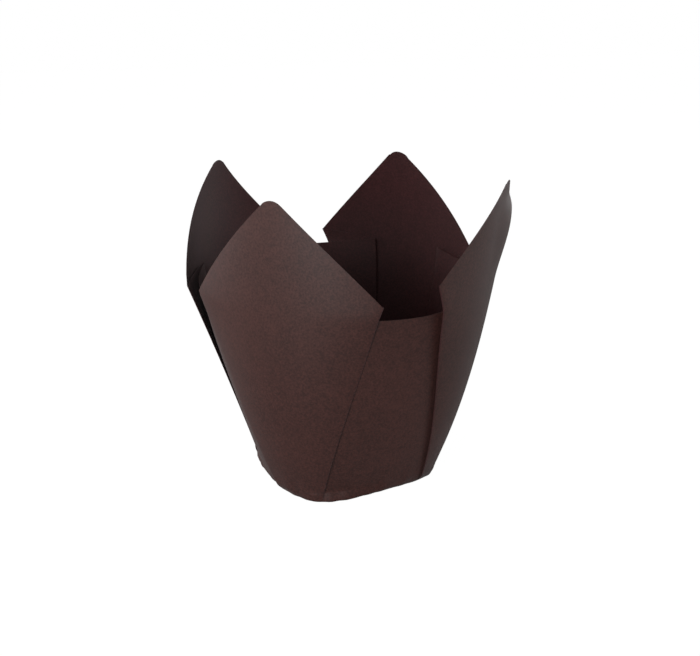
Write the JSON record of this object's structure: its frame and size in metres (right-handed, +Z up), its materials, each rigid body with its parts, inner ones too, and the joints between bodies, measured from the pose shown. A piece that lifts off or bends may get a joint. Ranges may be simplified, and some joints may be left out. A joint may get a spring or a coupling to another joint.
{
  "type": "tulip baking wrap",
  "caption": "Tulip-style muffin liner: a square of dark brown baking paper pleated into an open cup with pointed petals above its rim.",
  "frame": {"origin": "centre of the base, on the surface that the liner stands on", "axes": "+Z up towards the petals; +X and +Y point at the middles of two neighbouring side panels, so the petals stand on the diagonals"},
  "size_m": [0.0858, 0.0858, 0.0874],
  "materials": {
    "baking_paper": "matt dark brown greaseproof paper, dyed in the pulp, with a fine fibre mottle"
  },
  "bodies": {
    "root": {"folded_paper": "baking_paper"}
  },
  "joints": []
}
